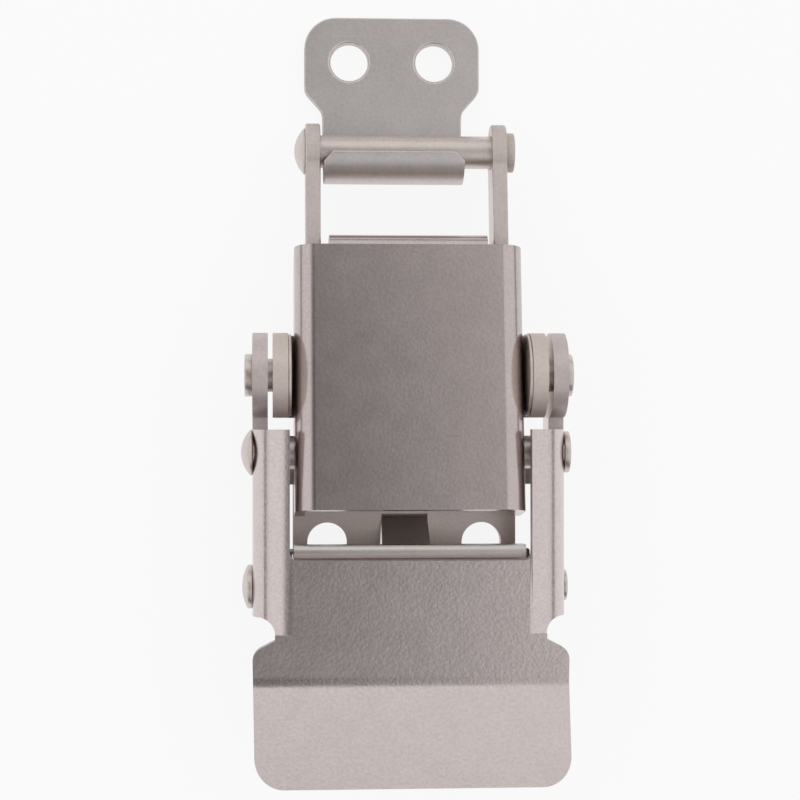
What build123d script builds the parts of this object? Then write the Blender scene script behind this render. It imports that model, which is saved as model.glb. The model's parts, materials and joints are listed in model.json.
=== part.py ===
# Over-centre toggle latch with a spring-loaded link, a separate strike and a secondary catch.
# Millimetres. +Z points away from the mounting surface, +Y towards the strike.
# The origin is the centre of the base plate's four mounting holes, on the mounting surface.
import os
from math import atan2, cos, degrees, hypot, pi, radians, sin, sqrt
from build123d import *

# Sheet stock and wire
sheet = 2.2                # base plate, handle and link arms
strike_sheet = 2.1
cover_sheet = 1.5
catch_sheet = 1.8
keeper_sheet = 1.6         # the keeper is drawn thinner than the plate it is lanced from
bend_inside = 1.1          # base plate
handle_bend_inside = 3.6
cover_bend_inside = 1.5

# Clearances
running_clearance = 0.05   # radial, pin in a hole that turns on it
fixed_clearance = 0.01     # radial, pin in a hole that grips it
side_clearance = 0.2       # link arms inside the cover, springs beside the ears
ear_clearance = 0.7        # between the handle's ears and the base plate's
cover_clearance = 0.9      # between the base plate's ears and the cover
end_wall_clearance = 1.15  # between the arms and the cover's end wall
catch_clearance = 3.7      # between the catch's ears and the handle's flanges, for a spring
seat_gap = 0.3             # between parts that meet on curved or sprung faces

# Base plate
hole_spacing_x = 23.0
hole_spacing_y = 33.0
base_hole_d = 5.9
base_hole_edge = 6.1       # hole centre to the plate's end
base_hole_side = 5.1       # hole centre to the plate's side
base_relief = 1.1          # from the start of the ear's bend inwards
shoulder_low_y = -7.9
shoulder_length = 7.1
base_corner_r = 3.0
relief_corner_r = 1.6
ear_r = 6.1
pivot_y = 8.1
pivot_z = 12.0

# Keeper lanced from the base plate
keeper_width = 7.3         # at its free end
keeper_root_width = 6.7
keeper_root_y = -12.2
keeper_angle = 50.0
keeper_inside_r = 0.8
keeper_length = 6.2
keeper_slot_gap = 0.05     # sheared, not punched

# Handle
handle_width = 45.0        # over the outer faces of the flanges
handle_face_z = 17.6       # front face, latch closed
strip_width = 5.3          # front face left on each side of the window
arm_start = 7.8            # pivot axis to the top of the front strips
window_end = 26.4          # pivot axis to the lower edge of the window
window_corner_r = 1.2
flange_corner_r = 3.0
notch_y = 36.8             # pivot axis to the waist between flanges and tab
notch_height = 3.9         # along the flange, to the middle of the slant below
notch_r = 2.3
notch_depth = 3.2
notch_slant = 0.8          # half the height of the slant from the waist to the tab
notch_low_r = 1.1
tab_shoulder_r = 2.05
tab_start = 42.6
tab_angle = 20.0
tab_length = 14.2
tab_bend_r = 5.0
tab_corner_r = 4.2
tab_taper = 0.4            # each side, from the shoulders to the tip

# Link: its pin in the handle, the cover on that pin, and the arms inside the cover
link_pin_drop_y = 11.1     # from the pivot axis
link_pin_drop_z = 1.1
link_pin_d = 4.76
hook_pin_y = 41.3
cover_height = 6.3         # link axis to the cover's front face
cover_back_z = 2.8
cover_corner_r = 6.0       # lower back corner of the side walls
cover_low = 9.0            # link pin to the cover's open end
cover_high = 29.4          # link pin to the cover's sprung end
end_wall_bend_inside = 0.9
end_wall_reach = 1.8       # end wall past the cover's side walls
end_wall_depth = 4.2       # below the link axis
arm_half_depth = 3.2
arm_tail = 1.6             # arm left past the crosshead slot
arm_head_r = 4.1
crosshead_start = 4.5
crosshead_thickness = 2.5
crosshead_half_depth = 4.2
tenon_half_depth = 2.0
spring_d = 8.4
spring_wire = 1.3
spring_turns = 6
guide_d = 4.6
guide_spigot_d = 3.0
guide_length = 13.0

# Strike and hook pin
hook_pin_d = 4.8
strike_hole_spacing = 12.7
strike_hole_d = 5.6
strike_reach = 13.8        # hook pin to the strike's holes
strike_width = 26.1
strike_end_margin = 6.6    # hole centre to the strike's end
strike_side_margin = 4.5   # hole centre to where the straight sides stop
strike_shoulder = 3.0      # length of the slanted shoulders
hook_play = 2.3            # each side, between the hook and the link arms
strike_corner_r = 4.7
strike_shoulder_r = 2.0
strike_offset_x = -1.8     # the strike is free to slide along the pin and stands off centre
hook_taper = 0.1           # each side, from the neck to the lip
hook_wrap = 175.0          # how far the hook is rolled round the pin
strike_rim_r = 0.45        # rounded front rim of the strike's holes
lip_chamfer = 1.4

# Secondary catch
catch_pin_drop_y = 30.5
catch_pin_z = 9.5
catch_pin_d = 3.6
catch_front_y = -16.2
catch_bead_r = 1.8         # rolled front edge, flat in front
catch_bead_set = 1.1       # bead's centre behind its flat front
catch_bead_z = 13.55
catch_bead_corner_r = 1.2
catch_gap = 1.6            # catch web to the handle's inner face
catch_leg_set = 1.0        # leg's front face behind the bead's centre
catch_leg_width = 6.6
catch_leg_low_z = 3.4
catch_nose = 0.55
catch_nose_height = 1.6
catch_web_length = 7.1     # bead's centre to the bend towards the finger pad
catch_pad_bend_r = 2.5
catch_pad_corner_r = 4.0
catch_corner_r = 1.2
catch_pad_angle = 17.0
catch_pad_length = 19.0
catch_pad_inset = 4.6      # each side, from the web's width to the pad's
catch_ear_r = 4.2
catch_spring_wire = 0.8
catch_spring_knuckle = 0.82  # ball where a leg leaves the coil
catch_spring_turns = 3
catch_spring_reach = 3.4   # catch pin to the end of the leg on the handle
catch_spring_hook = 2.2    # bent end of the other leg

# Rivet heads: diameter, height and how much of the height is the straight rim below the dome
pivot_head = (6.1, 1.2, 1.1)
pivot_inner_head = (11.8, 0.6, 0.45)
link_pin_head = (6.6, 1.65, 0.3)
link_pin_tail = (6.0, 0.9, 0.85)
catch_pin_head = (6.3, 1.5, 0.7)
catch_pin_tail = (4.5, 0.75, 0.6)
hook_pin_head = (6.8, 1.6, 0.15)
hook_pin_tail = (5.8, 1.35, 1.25)

# Worked out from the sizes above
link_pin_y = pivot_y - link_pin_drop_y
link_pin_z = pivot_z - link_pin_drop_z
hook_pin_z = strike_sheet + seat_gap + hook_pin_d / 2
link_tilt = atan2(link_pin_z - hook_pin_z, hook_pin_y - link_pin_y)
link_length = hypot(link_pin_z - hook_pin_z, hook_pin_y - link_pin_y)
catch_pin_y = pivot_y - catch_pin_drop_y
handle_inner_z = handle_face_z - sheet
handle_bend_outside = handle_bend_inside + sheet
handle_half = handle_width / 2
handle_inner_half = handle_half - sheet
flange_back_z = pivot_z - ear_r
window_half = handle_half - strip_width
waist_half = handle_half - notch_depth
tab_tip_half = handle_half - tab_taper
base_half = handle_inner_half - ear_clearance
base_bend_x = base_half - sheet - bend_inside
cover_half = base_half - sheet - cover_clearance
cover_width = 2 * cover_half
arm_outer = cover_half - cover_sheet - side_clearance
arm_inner = arm_outer - sheet
end_wall_half = arm_inner - end_wall_clearance
catch_half = handle_inner_half - catch_clearance
catch_width = 2 * catch_half
end_wall_s = cover_high + end_wall_reach
spring_seat_s = crosshead_start + crosshead_thickness
spring_x = arm_inner / 2
spring_end_s = end_wall_s - cover_sheet

# Frames of the tilted link: s runs along it from the link pin, h away from the base
along = (0, cos(link_tilt), -sin(link_tilt))
away = (0, sin(link_tilt), cos(link_tilt))
link_origin = (0, link_pin_y, link_pin_z)
link_side = Plane(origin=link_origin, x_dir=along, z_dir=(1, 0, 0))
link_plan = Plane(origin=link_origin, x_dir=(1, 0, 0), z_dir=away)
link_section = Plane(origin=link_origin, x_dir=(-1, 0, 0), z_dir=along)


def side(x):
    """Plane across the latch at x: local x is Y and local y is Z."""
    return Plane.YZ.offset(x)


def section(y):
    """Plane facing -Y at y: local x is X and local y is Z."""
    return Plane.XZ.offset(-y)


def link_side_at(x):
    """Plane across the link at x: local x is s and local y is h."""
    return link_side.offset(x)


def link_section_at(s):
    """Plane across the link at s: local x is -X and local y is h."""
    return link_section.offset(s)


def quarter_bend(inside, thickness):
    """Bend section about the origin, from the flat below it to the upright at its right."""
    Circle(inside + thickness)
    Circle(inside, mode=Mode.SUBTRACT)
    Rectangle(inside + thickness, inside + thickness, align=(Align.MIN, Align.MAX), mode=Mode.INTERSECT)


# Base plate: flat plate with two upright ears, four mounting holes and the lanced keeper
base_low_y = -hole_spacing_y / 2 - base_hole_edge
base_high_y = hole_spacing_y / 2 + base_hole_edge
shoulder_high_y = shoulder_low_y + shoulder_length
keeper_run = (keeper_inside_r + keeper_sheet / 2) * radians(keeper_angle) + keeper_length


def keeper_corners(margin):
    """Corners of the keeper's tapered plan, larger by margin on each side."""
    root_half = keeper_root_width / 2 + margin
    tip_half = keeper_width / 2 + margin
    tip_y = keeper_root_y - keeper_run
    return (-root_half, keeper_root_y), (root_half, keeper_root_y), (tip_half, tip_y), (-tip_half, tip_y)


with BuildPart() as keeper:
    with BuildSketch(side(-keeper_width / 2)):
        with BuildLine():
            rise = JernArc(
                start=(keeper_root_y, sheet), tangent=(-1, 0), radius=keeper_inside_r, arc_size=-keeper_angle
            )
            Line(rise @ 1, rise @ 1 + keeper_length * (rise % 1))
            offset(amount=keeper_sheet, side=Side.LEFT)
        make_face()
    extrude(amount=keeper_width)
    with BuildSketch(Plane.XY):
        with BuildLine():
            Polyline(*keeper_corners(0), close=True)
        make_face()
    extrude(amount=pivot_z, mode=Mode.INTERSECT)

with BuildPart() as base_plate:
    with BuildSketch(Plane.XY):
        with Locations((0, base_low_y)):
            Rectangle(
                hole_spacing_x + 2 * base_hole_side,
                shoulder_high_y - base_low_y,
                align=(Align.CENTER, Align.MIN),
            )
            Rectangle(
                2 * (base_bend_x - base_relief), base_high_y - base_low_y, align=(Align.CENTER, Align.MIN)
            )
        with Locations((0, shoulder_low_y)):
            Rectangle(2 * base_half, shoulder_length, align=(Align.CENTER, Align.MIN))
        corners = vertices()
        fillet(corners.group_by(Axis.Y)[0] + corners.group_by(Axis.Y)[-1], base_corner_r)
        shoulder_corners = corners.group_by(Axis.Y)[1]
        fillet(shoulder_corners.sort_by(Axis.X)[1:-1], relief_corner_r)
    extrude(amount=sheet)
    with BuildSketch(Plane.XY):
        with Locations((0, pivot_y)):
            Rectangle(2 * base_bend_x, 2 * ear_r)
    extrude(amount=sheet)
    with BuildSketch(section(pivot_y + ear_r)):
        with Locations((base_bend_x, sheet + bend_inside)):
            quarter_bend(bend_inside, sheet)
    extrude(amount=2 * ear_r)
    with BuildSketch(side(base_half - sheet)) as ear_profile:
        with Locations((pivot_y, pivot_z)):
            Circle(ear_r)
        with Locations((pivot_y, sheet + bend_inside)):
            Rectangle(2 * ear_r, pivot_z - sheet - bend_inside, align=(Align.CENTER, Align.MIN))
        with Locations((pivot_y, pivot_z)):
            Circle(link_pin_d / 2 + fixed_clearance, mode=Mode.SUBTRACT)
    extrude(amount=sheet)
    mirror(about=Plane.YZ)
    with Locations((0, 0, sheet)):
        with GridLocations(hole_spacing_x, hole_spacing_y, 2, 2):
            Hole(base_hole_d / 2, depth=sheet)
    with BuildSketch(Plane.XY):
        with BuildLine():
            Polyline(*keeper_corners(keeper_slot_gap), close=True)
        make_face()
    extrude(amount=sheet, mode=Mode.SUBTRACT)
    add(keeper.part)
base_plate.part.label = "base_plate"


# Handle: a channel with two ears and a front window, necked behind an outward thumb tab
window_end_y = pivot_y - window_end
strip_top_y = pivot_y - arm_start
tab_start_y = pivot_y - tab_start
waist_y = pivot_y - notch_y
notch_top_y = waist_y + notch_r
tab_tip_y = tab_start_y - tab_bend_r * sin(radians(tab_angle)) - tab_length * cos(radians(tab_angle))
notch_low_y = notch_top_y - notch_height
ear_neck_z = handle_face_z - handle_bend_outside

with BuildPart() as handle:
    with BuildSketch(section(strip_top_y)):
        with BuildLine():
            Polyline(
                (-handle_half, flange_back_z),
                (-handle_half, handle_face_z),
                (handle_half, handle_face_z),
                (handle_half, flange_back_z),
                (handle_inner_half, flange_back_z),
                (handle_inner_half, handle_inner_z),
                (-handle_inner_half, handle_inner_z),
                (-handle_inner_half, flange_back_z),
                close=True,
            )
        make_face()
        fillet(vertices().group_by(Axis.Y)[-1], handle_bend_outside)
        fillet(
            vertices().filter_by_position(Axis.Y, handle_inner_z - 0.1, handle_inner_z + 0.1), handle_bend_inside
        )
    extrude(amount=strip_top_y - waist_y)
    with BuildSketch(side(-handle_half)):
        with BuildLine():
            plate = Line((waist_y, handle_face_z), (tab_start_y, handle_face_z))
            tab_bend = JernArc(start=plate @ 1, tangent=(-1, 0), radius=tab_bend_r, arc_size=-tab_angle)
            Line(tab_bend @ 1, tab_bend @ 1 + tab_length * (tab_bend % 1))
            offset(amount=sheet, side=Side.LEFT)
        make_face()
    extrude(amount=handle_width)
    with BuildSketch(side(-handle_half)):
        with Locations((notch_top_y, flange_back_z)):
            Rectangle(pivot_y - notch_top_y, handle_face_z, align=(Align.MIN, Align.MIN))
        with Locations((notch_top_y, handle_inner_z)):
            Rectangle(4 * tab_length, handle_face_z, align=(Align.CENTER, Align.MIN))
        low_corner = vertices().sort_by_distance((-handle_half, notch_top_y, flange_back_z))[0]
        fillet(low_corner, flange_corner_r)
    extrude(amount=handle_width, mode=Mode.INTERSECT)
    with BuildSketch(Plane.XY):
        with BuildLine():
            Polyline(
                (-handle_half, strip_top_y),
                (handle_half, strip_top_y),
                (handle_half, notch_low_y),
                (tab_tip_half, tab_tip_y),
                (-tab_tip_half, tab_tip_y),
                (-handle_half, notch_low_y),
                close=True,
            )
        make_face()
        with BuildLine():
            Polyline(
                (handle_width, notch_top_y),
                (waist_half, notch_top_y),
                (waist_half, notch_low_y + notch_slant),
                (handle_half, notch_low_y - notch_slant),
                (handle_width, notch_low_y - notch_slant),
                close=True,
            )
        make_face(mode=Mode.SUBTRACT)
        split(bisect_by=Plane.YZ)
        mirror(about=Plane.YZ)
        waist = vertices().filter_by_position(Axis.X, -waist_half - 0.1, waist_half + 0.1)
        fillet(waist.group_by(Axis.Y)[-1], notch_r)
        fillet(waist.group_by(Axis.Y)[0], notch_low_r)
        shoulder_y = notch_low_y - notch_slant
        shoulders = vertices().filter_by_position(Axis.Y, shoulder_y - 0.1, shoulder_y + 0.1)
        fillet(shoulders.filter_by(lambda v: abs(v.X) > handle_half - 0.1), tab_shoulder_r)
        fillet(vertices().group_by(Axis.Y)[0], tab_corner_r)
        with Locations((0, strip_top_y)):
            Rectangle(
                2 * window_half, strip_top_y - window_end_y, align=(Align.CENTER, Align.MAX), mode=Mode.SUBTRACT
            )
        window_corners = vertices().filter_by_position(Axis.X, -window_half - 0.1, window_half + 0.1)
        fillet(window_corners.group_by(Axis.Y)[-2], window_corner_r)
    extrude(amount=2 * handle_face_z, mode=Mode.INTERSECT)
    with BuildSketch(side(handle_inner_half)):
        with Locations((pivot_y, pivot_z)):
            Circle(ear_r)
        with Locations((pivot_y, flange_back_z)):
            Rectangle(ear_r + arm_start, ear_neck_z - flange_back_z, align=(Align.MAX, Align.MIN))
    extrude(amount=sheet)
    with BuildSketch(side(-handle_inner_half)):
        with Locations((pivot_y, pivot_z)):
            Circle(ear_r)
        with Locations((pivot_y, flange_back_z)):
            Rectangle(ear_r + arm_start, ear_neck_z - flange_back_z, align=(Align.MAX, Align.MIN))
    extrude(amount=-sheet)
    with BuildSketch(side(-handle_half)):
        with Locations((pivot_y, pivot_z)):
            Circle(link_pin_d / 2 + running_clearance)
        with Locations((link_pin_y, link_pin_z)):
            Circle(link_pin_d / 2 + fixed_clearance)
        with Locations((catch_pin_y, catch_pin_z)):
            Circle(catch_pin_d / 2 + fixed_clearance)
    extrude(amount=handle_width, mode=Mode.SUBTRACT)
handle.part.label = "handle"



def riveted_pin(y, z, diameter, left, right, head, tail):
    """Pin along X between left and right, with a domed head past each end."""
    head_d, head_height, head_rim = head
    tail_d, tail_height, tail_rim = tail
    with BuildPart() as pin:
        with BuildSketch(Plane(origin=(0, y, z), x_dir=(1, 0, 0), z_dir=(0, -1, 0))):
            with BuildLine():
                head_dome = TangentArc(
                    (left - head_height, 0), (left - head_rim, head_d / 2), tangent=(0, 1)
                )
                tail_dome = TangentArc(
                    (right + tail_height, 0), (right + tail_rim, tail_d / 2), tangent=(0, 1)
                )
                Polyline(
                    head_dome @ 1,
                    (left, head_d / 2),
                    (left, diameter / 2),
                    (right, diameter / 2),
                    (right, tail_d / 2),
                    tail_dome @ 1,
                )
                Line(head_dome @ 0, tail_dome @ 0)
            make_face()
        revolve(axis=Axis((0, y, z), (1, 0, 0)))
    return pin.part


with BuildPart() as pivot_rivet_left:
    add(riveted_pin(pivot_y, pivot_z, link_pin_d, -handle_half, sheet - base_half, pivot_head, pivot_inner_head))
pivot_rivet_left.part.label = "pivot_rivet_left"

with BuildPart() as pivot_rivet_right:
    add(riveted_pin(pivot_y, pivot_z, link_pin_d, base_half - sheet, handle_half, pivot_inner_head, pivot_head))
pivot_rivet_right.part.label = "pivot_rivet_right"

with BuildPart() as link_pin:
    add(riveted_pin(link_pin_y, link_pin_z, link_pin_d, -handle_half, handle_half, link_pin_head, link_pin_tail))
link_pin.part.label = "link_pin"

with BuildPart() as catch_pin:
    add(riveted_pin(catch_pin_y, catch_pin_z, catch_pin_d, -handle_half, handle_half, catch_pin_head, catch_pin_tail))
catch_pin.part.label = "catch_pin"

with BuildPart() as hook_pin:
    add(riveted_pin(hook_pin_y, hook_pin_z, hook_pin_d, -arm_outer, arm_outer, hook_pin_head, hook_pin_tail))
hook_pin.part.label = "hook_pin"

# Spring cover: a channel open at the back and at its lower end, closed by a bent end wall
cover_inner = cover_half - cover_sheet
cover_inner_h = cover_height - cover_sheet
cover_wall_h = -2 * cover_height

with BuildPart() as spring_box:
    with BuildSketch(link_section_at(-cover_low)):
        with BuildLine():
            Polyline(
                (-cover_half, cover_wall_h),
                (-cover_half, cover_height),
                (cover_half, cover_height),
                (cover_half, cover_wall_h),
                (cover_inner, cover_wall_h),
                (cover_inner, cover_inner_h),
                (-cover_inner, cover_inner_h),
                (-cover_inner, cover_wall_h),
                close=True,
            )
        make_face()
        fillet(vertices().group_by(Axis.Y)[-1], cover_bend_inside + cover_sheet)
        fillet(vertices().filter_by_position(Axis.Y, cover_inner_h - 0.1, cover_inner_h + 0.1), cover_bend_inside)
    extrude(amount=cover_low + cover_high)
    with BuildSketch(link_side_at(-end_wall_half)):
        with BuildLine():
            roof = Line((0, cover_height), (end_wall_s - cover_sheet - end_wall_bend_inside, cover_height))
            end_bend = JernArc(
                start=roof @ 1, tangent=(1, 0), radius=end_wall_bend_inside + cover_sheet, arc_size=-90
            )
            Line(end_bend @ 1, (end_wall_s, -end_wall_depth))
            offset(amount=cover_sheet, side=Side.RIGHT)
        make_face()
    extrude(amount=2 * end_wall_half)
    with BuildSketch(side(-cover_half)):
        with Locations((link_pin_y, 0)):
            Rectangle(4 * cover_high, cover_back_z, align=(Align.CENTER, Align.MIN))
            Rectangle(4 * cover_high, 2 * cover_back_z, align=(Align.CENTER, Align.MAX))
    extrude(amount=cover_width, mode=Mode.SUBTRACT)
    back_edges = edges().filter_by(Axis.X).group_by(Axis.Z)[0]
    fillet(back_edges.group_by(Axis.Y)[0], cover_corner_r)
    with BuildSketch(link_side_at(-cover_half)):
        Circle(link_pin_d / 2 + running_clearance)
    extrude(amount=cover_width, mode=Mode.SUBTRACT)
spring_box.part.label = "spring_box"

# Sliding link inside the cover: two arms joined by a crosshead that carries the springs
arm_tail_s = crosshead_start - arm_tail


def link_arm(x):
    """Flat arm whose left face is at x, slotted for the crosshead and bored for the hook pin."""
    with BuildPart() as arm:
        with BuildSketch(link_side_at(x)):
            with Locations((arm_tail_s, 0)):
                Rectangle(link_length - arm_tail_s, 2 * arm_half_depth, align=(Align.MIN, Align.CENTER))
            with Locations((link_length, 0)):
                Circle(arm_head_r)
                Circle(hook_pin_d / 2 + fixed_clearance, mode=Mode.SUBTRACT)
            with Locations((crosshead_start, 0)):
                Rectangle(
                    crosshead_thickness,
                    2 * tenon_half_depth,
                    align=(Align.MIN, Align.CENTER),
                    mode=Mode.SUBTRACT,
                )
        extrude(amount=sheet)
    return arm.part


with BuildPart() as link_arm_left:
    add(link_arm(-arm_outer))
link_arm_left.part.label = "link_arm_left"

with BuildPart() as link_arm_right:
    add(link_arm(arm_inner))
link_arm_right.part.label = "link_arm_right"

with BuildPart() as crosshead:
    with BuildSketch(link_section_at(crosshead_start)):
        Rectangle(2 * arm_inner, 2 * crosshead_half_depth)
        Rectangle(2 * arm_outer, 2 * tenon_half_depth)
        with Locations((spring_x, 0), (-spring_x, 0)):
            Circle(guide_spigot_d / 2 + fixed_clearance, mode=Mode.SUBTRACT)
    extrude(amount=crosshead_thickness)
crosshead.part.label = "crosshead"


def guide_rod(x):
    """Guide rod at x with its spigot in the crosshead and a rounded free end."""
    with BuildPart(link_section_at(spring_seat_s)) as rod:
        with Locations((-x, 0)):
            Cylinder(guide_d / 2, guide_length, align=(Align.CENTER, Align.CENTER, Align.MIN))
            fillet(edges().sort_by(Axis.Y)[-1], guide_d / 5)
            Cylinder(
                guide_spigot_d / 2, crosshead_thickness, align=(Align.CENTER, Align.CENTER, Align.MAX)
            )
    return rod.part


with BuildPart() as guide_rod_left:
    add(guide_rod(-spring_x))
guide_rod_left.part.label = "guide_rod_left"

with BuildPart() as guide_rod_right:
    add(guide_rod(spring_x))
guide_rod_right.part.label = "guide_rod_right"


def coil_spring(radius, wire, height, turns):
    """Round-wire coil standing on the origin along +Z, its wire starting on +X."""
    with BuildPart() as spring:
        with BuildLine():
            coil = Helix(pitch=height / turns, height=height, radius=radius)
        with BuildSketch(Plane(origin=coil @ 0, z_dir=coil % 0)):
            Circle(wire / 2)
        sweep(is_frenet=True)
    return spring.part


coil_height = spring_end_s - spring_seat_s - spring_wire
link_spring = coil_spring((spring_d - spring_wire) / 2, spring_wire, coil_height, spring_turns)
spring_plane = link_section_at(spring_seat_s + spring_wire / 2)

with BuildPart(spring_plane) as compression_spring_left:
    with Locations((spring_x, 0)):
        add(link_spring)
compression_spring_left.part.label = "compression_spring_left"

with BuildPart(spring_plane) as compression_spring_right:
    with Locations((-spring_x, 0)):
        add(link_spring)
compression_spring_right.part.label = "compression_spring_right"

# Strike: flat plate with two holes, necked and rolled round the hook pin
strike_hole_y = hook_pin_y + strike_reach
strike_end_y = strike_hole_y + strike_end_margin
strike_wide_end = strike_hole_y - strike_side_margin
strike_neck_start = strike_wide_end - strike_shoulder
hook_outer_r = hook_pin_z
lip_y = hook_pin_y - hook_outer_r * sin(radians(hook_wrap))
hook_half = arm_inner - hook_play

with BuildPart() as strike:
    with BuildSketch(side(strike_offset_x - strike_width / 2)):
        with BuildLine():
            flat = Line((strike_end_y, 0), (hook_pin_y, 0))
            JernArc(start=flat @ 1, tangent=(-1, 0), radius=hook_outer_r, arc_size=-hook_wrap)
            offset(amount=strike_sheet, side=Side.RIGHT)
        make_face()
    extrude(amount=strike_width)
    with BuildSketch(Plane(origin=(strike_offset_x, 0, 0))):
        with BuildLine():
            Polyline(
                (0, hook_pin_y - hook_outer_r),
                (hook_half, hook_pin_y - hook_outer_r),
                (hook_half, lip_y),
                (hook_half + hook_taper, strike_neck_start),
                (strike_width / 2, strike_wide_end),
                (strike_width / 2, strike_end_y),
                (0, strike_end_y),
            )
            mirror(about=Plane.YZ)
        make_face()
        fillet(vertices().group_by(Axis.Y)[-1], strike_corner_r)
        shoulders = vertices().filter_by_position(Axis.Y, strike_neck_start - 0.1, strike_wide_end + 0.1)
        fillet(shoulders, strike_shoulder_r)
    extrude(amount=2 * hook_outer_r, mode=Mode.INTERSECT)
    with Locations((strike_offset_x, strike_hole_y, strike_sheet)):
        with GridLocations(strike_hole_spacing, 0, 2, 1):
            Hole(strike_hole_d / 2, depth=strike_sheet)
    rims = edges().filter_by(GeomType.CIRCLE).filter_by_position(Axis.Z, strike_sheet - 0.1, strike_sheet + 0.1)
    fillet(rims.filter_by(lambda e: abs(e.radius - strike_hole_d / 2) < 0.01), strike_rim_r)
    lip_end = faces().sort_by_distance((strike_offset_x, lip_y, 2 * hook_outer_r - strike_sheet / 2))[0]
    lip_sides = lip_end.edges().sort_by(Axis.X)
    chamfer([lip_sides[0], lip_sides[-1]], lip_chamfer)
strike.part.label = "strike"

# Secondary catch: web with a beaded front edge, leg at the keeper, finger pad, two ears
web_z = handle_inner_z - catch_gap
catch_bead_y = catch_front_y - catch_bead_set
catch_leg_y = catch_bead_y - catch_leg_set
catch_bend_y = catch_bead_y - catch_web_length
catch_back_y = catch_bend_y - catch_pad_length

with BuildPart() as catch:
    with BuildSketch(side(-catch_half)):
        with BuildLine():
            web = Line((catch_bead_y, web_z), (catch_bend_y, web_z))
            pad_bend = JernArc(
                start=web @ 1, tangent=(-1, 0), radius=catch_pad_bend_r, arc_size=catch_pad_angle
            )
            Line(pad_bend @ 1, pad_bend @ 1 + catch_pad_length * (pad_bend % 1))
            offset(amount=catch_sheet, side=Side.LEFT)
        make_face()
        with Locations((catch_bead_y, catch_bead_z)):
            Circle(catch_bead_r)
        with Locations((catch_front_y, catch_bead_z)):
            Rectangle(
                catch_bead_r, 2 * catch_bead_r, align=(Align.MIN, Align.CENTER), mode=Mode.SUBTRACT
            )
    extrude(amount=catch_width)
    with BuildSketch(Plane.XY):
        with Locations((0, catch_front_y)):
            Rectangle(catch_width, catch_ear_r - catch_pin_y + catch_front_y, align=(Align.CENTER, Align.MAX))
            Rectangle(2 * (catch_half - catch_pad_inset), catch_front_y - catch_back_y, align=(Align.CENTER, Align.MAX))
        corners = vertices()
        fillet(corners.group_by(Axis.Y)[0], catch_pad_corner_r)
        fillet(corners.group_by(Axis.Y)[1], catch_corner_r)
        fillet(corners.group_by(Axis.Y)[-1], catch_bead_corner_r)
    extrude(amount=handle_face_z, mode=Mode.INTERSECT)
    with BuildSketch(side(-catch_leg_width / 2)):
        with Locations((catch_leg_y, catch_leg_low_z)):
            Rectangle(catch_sheet, web_z - catch_sheet / 2 - catch_leg_low_z, align=(Align.MAX, Align.MIN))
            Rectangle(catch_nose, catch_nose_height, align=(Align.MIN, Align.MIN))
    extrude(amount=catch_leg_width)
    with BuildSketch(side(catch_half - catch_sheet)):
        with Locations((catch_pin_y, catch_pin_z)):
            Circle(catch_ear_r)
            Rectangle(2 * catch_ear_r, web_z - catch_pin_z - catch_sheet / 2, align=(Align.CENTER, Align.MIN))
    extrude(amount=catch_sheet)
    with BuildSketch(side(catch_sheet - catch_half)):
        with Locations((catch_pin_y, catch_pin_z)):
            Circle(catch_ear_r)
            Rectangle(2 * catch_ear_r, web_z - catch_pin_z - catch_sheet / 2, align=(Align.CENTER, Align.MIN))
    extrude(amount=-catch_sheet)
    with BuildSketch(side(-catch_half)):
        with Locations((catch_pin_y, catch_pin_z)):
            Circle(catch_pin_d / 2 + running_clearance)
    extrude(amount=catch_width, mode=Mode.SUBTRACT)
catch.part.label = "catch"

# Catch springs: coils on the catch pin beside the ears, one leg on the handle, one under the bead
catch_coil_r = catch_pin_d / 2 + seat_gap + catch_spring_wire / 2
catch_coil_room = handle_inner_half - catch_half - 2 * side_clearance - catch_spring_wire
bend_centre_x = handle_inner_half - handle_bend_inside
bend_centre_z = handle_inner_z - handle_bend_inside
leg_outer_x = handle_inner_half - side_clearance
leg_top_z = bend_centre_z + sqrt(handle_bend_inside**2 - (leg_outer_x - bend_centre_x) ** 2)
handle_leg_z = leg_top_z - catch_spring_wire / 2 - catch_pin_z
bead_leg_y = catch_bead_y - catch_pin_y
bead_leg_z = catch_bead_z - catch_bead_r - catch_spring_wire / 2 - catch_pin_z
handle_leg_length = sqrt(catch_spring_reach**2 + handle_leg_z**2 - catch_coil_r**2)
bead_leg_length = sqrt(bead_leg_y**2 + bead_leg_z**2 - catch_coil_r**2)
handle_leg_angle = atan2(handle_leg_z, -catch_spring_reach) - atan2(handle_leg_length, catch_coil_r)
bead_leg_angle = atan2(bead_leg_z, bead_leg_y) + atan2(bead_leg_length, catch_coil_r)
catch_coil_turns = catch_spring_turns - (bead_leg_angle - handle_leg_angle) / (2 * pi)
coil_plane = Plane(
    origin=(handle_inner_half - side_clearance - catch_spring_wire / 2, catch_pin_y, catch_pin_z),
    x_dir=(0, cos(handle_leg_angle), sin(handle_leg_angle)),
    z_dir=(-1, 0, 0),
)
bead_leg_turn = Location((0, 0, catch_coil_room), (0, 0, degrees(handle_leg_angle - bead_leg_angle)))

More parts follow.
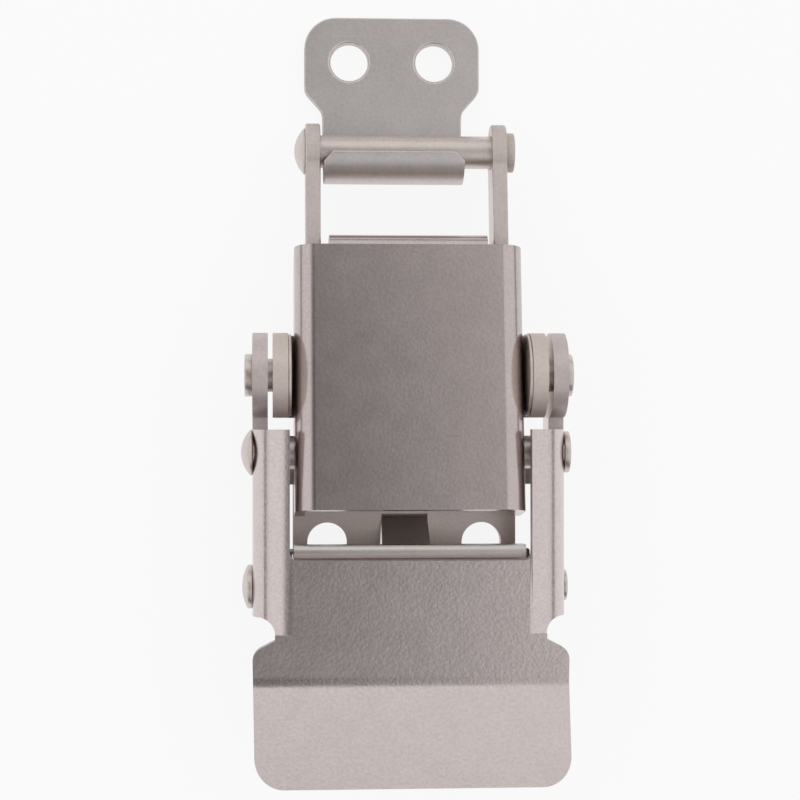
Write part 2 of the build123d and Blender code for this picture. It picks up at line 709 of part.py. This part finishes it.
with BuildPart(coil_plane) as catch_spring_right:
    add(coil_spring(catch_coil_r, catch_spring_wire, catch_coil_room, catch_coil_turns))
    with Locations((catch_coil_r, 0, 0), bead_leg_turn * Location((catch_coil_r, 0, 0))):
        Sphere(catch_spring_knuckle / 2)
    with Locations(Location((catch_coil_r, 0, 0), (90, 0, 0))):
        Cylinder(catch_spring_wire / 2, handle_leg_length, align=(Align.CENTER, Align.CENTER, Align.MIN))
    with Locations(bead_leg_turn * Location((catch_coil_r, 0, 0), (-90, 0, 0))):
        Cylinder(catch_spring_wire / 2, bead_leg_length, align=(Align.CENTER, Align.CENTER, Align.MIN))
    with Locations(bead_leg_turn * Location((catch_coil_r, bead_leg_length, 0))):
        Sphere(catch_spring_wire / 2)
        Cylinder(catch_spring_wire / 2, catch_spring_hook, align=(Align.CENTER, Align.CENTER, Align.MIN))
catch_spring_right.part.label = "catch_spring_right"

with BuildPart() as catch_spring_left:
    mirror(catch_spring_right.part, about=Plane.YZ)
catch_spring_left.part.label = "catch_spring_left"

pieces = (
    base_plate,
    handle,
    pivot_rivet_left,
    pivot_rivet_right,
    spring_box,
    link_pin,
    link_arm_left,
    link_arm_right,
    crosshead,
    guide_rod_left,
    guide_rod_right,
    compression_spring_left,
    compression_spring_right,
    hook_pin,
    strike,
    catch,
    catch_pin,
    catch_spring_left,
    catch_spring_right,
)
os.makedirs("parts", exist_ok=True)
for piece in pieces:
    export_step(piece.part, f"parts/{piece.part.label}.step")
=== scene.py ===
import json
import math
import bmesh
import bpy
from mathutils import Matrix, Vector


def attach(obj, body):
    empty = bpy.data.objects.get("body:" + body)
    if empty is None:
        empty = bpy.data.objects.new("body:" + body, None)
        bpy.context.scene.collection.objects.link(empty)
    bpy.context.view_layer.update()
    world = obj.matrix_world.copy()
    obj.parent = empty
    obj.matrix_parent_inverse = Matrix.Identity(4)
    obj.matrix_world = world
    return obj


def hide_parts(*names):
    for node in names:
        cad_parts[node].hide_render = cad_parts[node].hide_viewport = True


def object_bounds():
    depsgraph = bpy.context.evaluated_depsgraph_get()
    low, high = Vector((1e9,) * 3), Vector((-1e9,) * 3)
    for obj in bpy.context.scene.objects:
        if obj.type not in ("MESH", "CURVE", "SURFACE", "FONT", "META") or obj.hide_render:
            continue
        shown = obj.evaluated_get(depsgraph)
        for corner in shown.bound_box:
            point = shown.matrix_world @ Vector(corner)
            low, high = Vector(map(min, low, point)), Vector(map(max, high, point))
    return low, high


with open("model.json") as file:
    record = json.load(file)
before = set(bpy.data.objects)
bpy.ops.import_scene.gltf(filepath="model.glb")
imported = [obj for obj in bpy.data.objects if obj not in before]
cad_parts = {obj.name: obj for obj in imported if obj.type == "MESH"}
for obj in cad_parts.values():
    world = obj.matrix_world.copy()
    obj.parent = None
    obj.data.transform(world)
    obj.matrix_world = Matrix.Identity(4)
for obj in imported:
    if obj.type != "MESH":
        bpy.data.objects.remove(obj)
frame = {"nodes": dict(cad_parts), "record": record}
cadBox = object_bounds()
nodes = frame["nodes"]
bodyOf = {node: body for body, members in frame["record"]["behaviour"]["bodies"].items() for node in members}
slotOf = {part["node"]: part["material_slot"] for part in frame["record"]["subparts"]}
print("frame loaded:", len(nodes), "nodes")


def worked(tree, operation, *values):
    node = tree.nodes.new("ShaderNodeMath")
    node.operation = operation
    for value, socket in zip(values, node.inputs):
        if isinstance(value, bpy.types.NodeSocket):
            tree.links.new(value, socket)
        else:
            socket.default_value = value
    return node.outputs["Value"]


def ranged(tree, value, fromRange, toRange=(0, 1), kind="LINEAR"):
    node = tree.nodes.new("ShaderNodeMapRange")
    node.interpolation_type = kind
    node.inputs["From Min"].default_value, node.inputs["From Max"].default_value = fromRange
    node.inputs["To Min"].default_value, node.inputs["To Max"].default_value = toRange
    tree.links.new(value, node.inputs["Value"])
    return node.outputs["Result"]


grain = {  # noise sizes are per metre, and each noise varies by half either way
    "fine": {"scale": 2300, "detail": 1, "range": (0.3, 0.7)},
    "broad": {"scale": 260, "detail": 4, "range": (0.35, 0.65)},
    "spread": (-0.5, 0.5),
    "roughnessSpread": 0.01,
    "bumpHeight": 0.00004,  # metres
    "cutDuller": 0.3,  # roughness that a sheared edge adds to the rolled faces
}


def newSocket(group, name, inOut, kind, default=None):
    socket = group.interface.new_socket(name=name, in_out=inOut, socket_type=kind)
    if default is not None:
        socket.default_value = default


def makeTumbledGroup():
    group = bpy.data.node_groups.new("tumbledSteel", "ShaderNodeTree")
    newSocket(group, "Tone", "INPUT", "NodeSocketColor", (0.5, 0.5, 0.5, 1))
    newSocket(group, "Speckle", "INPUT", "NodeSocketFloat", 0.25)
    newSocket(group, "Cloud", "INPUT", "NodeSocketFloat", 0.05)
    newSocket(group, "Roughness", "INPUT", "NodeSocketFloat", 0.4)
    newSocket(group, "Color", "OUTPUT", "NodeSocketColor")
    newSocket(group, "Roughness", "OUTPUT", "NodeSocketFloat")
    newSocket(group, "Height", "OUTPUT", "NodeSocketFloat")
    link = group.links.new
    inputs, outputs = group.nodes.new("NodeGroupInput"), group.nodes.new("NodeGroupOutput")
    place = group.nodes.new("ShaderNodeTexCoord")
    raw, spread = {}, {}
    for size in ("fine", "broad"):
        noise = group.nodes.new("ShaderNodeTexNoise")
        noise.inputs["Scale"].default_value = grain[size]["scale"]
        noise.inputs["Detail"].default_value = grain[size]["detail"]
        link(place.outputs["Object"], noise.inputs["Vector"])
        raw[size] = noise.outputs["Fac"]
        spread[size] = ranged(group, raw[size], grain[size]["range"], grain["spread"])
    speckle = worked(group, "MULTIPLY_ADD", spread["fine"], inputs.outputs["Speckle"], 1.0)
    cloud = worked(group, "MULTIPLY_ADD", spread["broad"], inputs.outputs["Cloud"], 1.0)
    tint = group.nodes.new("ShaderNodeVectorMath")
    tint.operation = "SCALE"
    link(inputs.outputs["Tone"], tint.inputs[0])
    link(worked(group, "MULTIPLY", speckle, cloud), tint.inputs["Scale"])
    rough = worked(
        group, "MULTIPLY_ADD", spread["broad"], grain["roughnessSpread"], inputs.outputs["Roughness"]
    )
    link(tint.outputs["Vector"], outputs.inputs["Color"])
    link(rough, outputs.inputs["Roughness"])
    link(raw["fine"], outputs.inputs["Height"])
    return group


def steel(name, values):
    material = bpy.data.materials.new(name)
    material.use_nodes = True
    tree = material.node_tree
    link = tree.links.new
    shader = tree.nodes["Principled BSDF"]
    shader.inputs["Metallic"].default_value = 1.0
    effect = tree.nodes.new("ShaderNodeGroup")
    effect.node_tree = tumbled
    effect.inputs["Tone"].default_value = (*values["tone"], 1)
    for key in ("Speckle", "Cloud", "Roughness"):
        effect.inputs[key].default_value = values[key.lower()]
    cut = tree.nodes.new("ShaderNodeAttribute")
    cut.attribute_name = "cutEdge"
    rough = worked(tree, "MULTIPLY_ADD", cut.outputs["Fac"], grain["cutDuller"], effect.outputs["Roughness"])
    bump = tree.nodes.new("ShaderNodeBump")
    bump.inputs["Strength"].default_value = values["bump"]
    bump.inputs["Distance"].default_value = grain["bumpHeight"]
    link(effect.outputs["Height"], bump.inputs["Height"])
    link(effect.outputs["Color"], shader.inputs["Base Color"])
    link(rough, shader.inputs["Roughness"])
    link(bump.outputs["Normal"], shader.inputs["Normal"])
    return material


steels = {  # linear colour, then how much the fine and broad noise vary it
    "base_plate": {"tone": (0.76, 0.67, 0.63), "speckle": 0.08, "cloud": 0.05, "roughness": 0.33, "bump": 0.15},
    "handle": {"tone": (0.66, 0.585, 0.57), "speckle": 0.1, "cloud": 0.04, "roughness": 0.22, "bump": 0.3},
    "spring_box": {"tone": (0.57, 0.5, 0.485), "speckle": 0.08, "cloud": 0.05, "roughness": 0.22, "bump": 0.12},
    "link_arms": {"tone": (0.7, 0.63, 0.605), "speckle": 0.08, "cloud": 0.05, "roughness": 0.36, "bump": 0.2},
    "strike": {"tone": (0.68, 0.625, 0.61), "speckle": 0.1, "cloud": 0.05, "roughness": 0.4, "bump": 0.25},
    "catch": {"tone": (0.66, 0.61, 0.58), "speckle": 0.06, "cloud": 0.05, "roughness": 0.3, "bump": 0.15},
    "rivets": {"tone": (0.7, 0.63, 0.595), "speckle": 0.1, "cloud": 0.06, "roughness": 0.38, "bump": 0.2},
    "inner_parts": {"tone": (0.56, 0.54, 0.52), "speckle": 0.1, "cloud": 0.05, "roughness": 0.35, "bump": 0.2},
    "springs": {"tone": (0.48, 0.46, 0.44), "speckle": 0.1, "cloud": 0.05, "roughness": 0.3, "bump": 0.2},
}
tumbled = makeTumbledGroup()
materials = {slot: steel(slot, values) for slot, values in steels.items()}
print("materials made:", len(materials))

softEdge = {  # width in metres of the tumbled edges
    "base_plate": 0.00025,
    "handle": 0.0003,
    "spring_box": 0.00022,
    "link_arm_left": 0.0003,
    "link_arm_right": 0.0003,
    "strike": 0.0003,
    "catch": 0.00025,
    "pivot_rivet_left": 0.00015,
    "pivot_rivet_right": 0.00015,
    "link_pin": 0.00015,
    "catch_pin": 0.00015,
    "hook_pin": 0.00015,
}
softening = {
    "merge": 1e-6,  # metres between the corners of loose triangles
    "flat": 0.1,  # degrees up to which neighbours are one face
    "shortest": 4e-5,  # metres, because the shortest edge limits every soft edge, and a sheared gap stays open
    "sharp": 50,  # degrees from which an edge is softened
    "segments": 3,
}
cutFace = {
    "span": (0.0012, 0.0023),  # metres across the sheet
    "square": 0.004,  # largest share of the face's normal along that span
    "flat": 0.005,  # radians below which a neighbour is the same flat
}


def isCut(face):
    if any(edge.calc_face_angle(1.0) < cutFace["flat"] for edge in face.edges):
        return False
    least, most = cutFace["span"]
    corners = [vert.co for vert in face.verts]
    spans = [max(corner[axis] for corner in corners) - min(corner[axis] for corner in corners) for axis in range(3)]
    return any(least < spans[axis] < most and abs(face.normal[axis]) < cutFace["square"] for axis in range(3))


def softened(node, width):
    mesh = nodes[node].data.copy()
    piece = bpy.data.objects.new(node + "_soft", mesh)
    bpy.context.scene.collection.objects.link(piece)
    work = bmesh.new()
    work.from_mesh(mesh)
    bmesh.ops.remove_doubles(work, verts=work.verts, dist=softening["merge"])
    bmesh.ops.dissolve_limit(
        work,
        angle_limit=math.radians(softening["flat"]),
        verts=work.verts,
        edges=work.edges,
        use_dissolve_boundaries=False,
    )
    bmesh.ops.remove_doubles(work, verts=work.verts, dist=softening["shortest"])
    work.normal_update()
    cutEdge = work.faces.layers.float.new("cutEdge")
    for face in work.faces:
        face.smooth = True
        face[cutEdge] = float(isCut(face))
    work.to_mesh(mesh)
    work.free()
    bevel = piece.modifiers.new("bevel", "BEVEL")
    bevel.width = width
    bevel.segments = softening["segments"]
    bevel.limit_method = "ANGLE"
    bevel.angle_limit = math.radians(softening["sharp"])
    bevel.harden_normals = True
    weights = piece.modifiers.new("weights", "WEIGHTED_NORMAL")
    weights.keep_sharp = True
    mesh.materials.clear()
    mesh.materials.append(materials[slotOf[node]])
    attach(piece, bodyOf[node])
    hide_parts(node)


for node, cad in nodes.items():
    if node in softEdge:
        softened(node, softEdge[node])
        continue
    cad.data.materials.clear()
    cad.data.materials.append(materials[slotOf[node]])
print("pieces finished")

view = {
    "place": (-0.02031, 0.00085, 0.30824),
    "turn": (0.712, -3.678, -0.061),  # degrees about X, Y and Z
    "focal": 2058.0 / 800,  # in widths of the picture
    "nearest": 0.01,
}
camera = bpy.data.objects.new("camera", bpy.data.cameras.new("camera"))
bpy.context.scene.collection.objects.link(camera)
bpy.context.scene.camera = camera
turnX, turnY, turnZ = (Matrix.Rotation(math.radians(angle), 4, axis) for angle, axis in zip(view["turn"], "XYZ"))
camera.matrix_world = Matrix.Translation(view["place"]) @ turnY @ turnX @ turnZ
camera.data.lens = camera.data.sensor_width * view["focal"]
camera.data.clip_start = view["nearest"]

ground = {
    "half": 2,  # metres from its middle to each side
    "gap": 0.0005,  # metres below the lowest piece
    "color": (0.9, 0.9, 0.9, 1),
    "roughness": 0.9,
    "glow": 0.88,  # share that shows plain white, the rest keeps the shadow
}
floorMesh = bpy.data.meshes.new("floor")
work = bmesh.new()
bmesh.ops.create_grid(work, x_segments=1, y_segments=1, size=ground["half"])
work.to_mesh(floorMesh)
work.free()
floor = bpy.data.objects.new("floor", floorMesh)
floor.location = (0, 0, cadBox[0][2] - ground["gap"])
bpy.context.scene.collection.objects.link(floor)

pale = bpy.data.materials.new("paleFloor")
pale.use_nodes = True
tree, link = pale.node_tree, pale.node_tree.links.new
shader = tree.nodes["Principled BSDF"]
shader.inputs["Base Color"].default_value = ground["color"]
shader.inputs["Roughness"].default_value = ground["roughness"]
glow = tree.nodes.new("ShaderNodeEmission")
rays = tree.nodes.new("ShaderNodeLightPath").outputs
seen = worked(tree, "MAXIMUM", rays["Is Camera Ray"], rays["Is Glossy Ray"])
seen = worked(tree, "MAXIMUM", seen, rays["Is Transmission Ray"])
mix = tree.nodes.new("ShaderNodeMixShader")
link(worked(tree, "MULTIPLY", seen, ground["glow"]), mix.inputs["Fac"])
link(shader.outputs["BSDF"], mix.inputs[1])
link(glow.outputs["Emission"], mix.inputs[2])
link(mix.outputs["Shader"], tree.nodes["Material Output"].inputs["Surface"])
floorMesh.materials.append(pale)

studio = {  # radiance of the room, and of four soft cards between the angles where each begins and is full
    "room": 0.08,
    "top": {"level": 0.9, "angles": (21, 29)},  # degrees above the line of sight
    "bottom": {"level": 0.6, "angles": (-6, 30)},  # degrees below it
    "right": {"level": 0.88, "angles": (0.5, 11)},  # degrees to either side of it
    "left": {"level": 0.92, "angles": (12, 30)},
    "front": (-0.98, -0.6),  # the cards fade out towards the viewer
    "horizon": (0.03, 0.22),  # and just above the floor
}
world = bpy.data.worlds.new("studio")
world.use_nodes = True
tree = world.node_tree
facing = tree.nodes.new("ShaderNodeTexCoord")
parts = tree.nodes.new("ShaderNodeSeparateXYZ")
tree.links.new(facing.outputs["Generated"], parts.inputs["Vector"])
along = parts.outputs


def card(axis, sign, values):
    angle = worked(tree, "MULTIPLY", worked(tree, "ARCTAN2", along[axis], along["Z"]), math.degrees(sign))
    return ranged(tree, angle, values["angles"], (studio["room"], values["level"]), "SMOOTHSTEP")


light = card("Y", 1, studio["top"])
for axis, sign, side in (("Y", -1, "bottom"), ("X", 1, "right"), ("X", -1, "left")):
    light = worked(tree, "MAXIMUM", light, card(axis, sign, studio[side]))
for axis, side in (("Y", "front"), ("Z", "horizon")):
    light = worked(tree, "MULTIPLY", light, ranged(tree, along[axis], studio[side], kind="SMOOTHSTEP"))
light = worked(tree, "MAXIMUM", light, studio["room"])
tree.links.new(light, tree.nodes["Background"].inputs["Strength"])
tree.nodes["Background"].inputs["Color"].default_value = (1, 1, 1, 1)
bpy.context.scene.world = world

bpy.context.scene.view_settings.view_transform = "Standard"
print("camera and light placed")
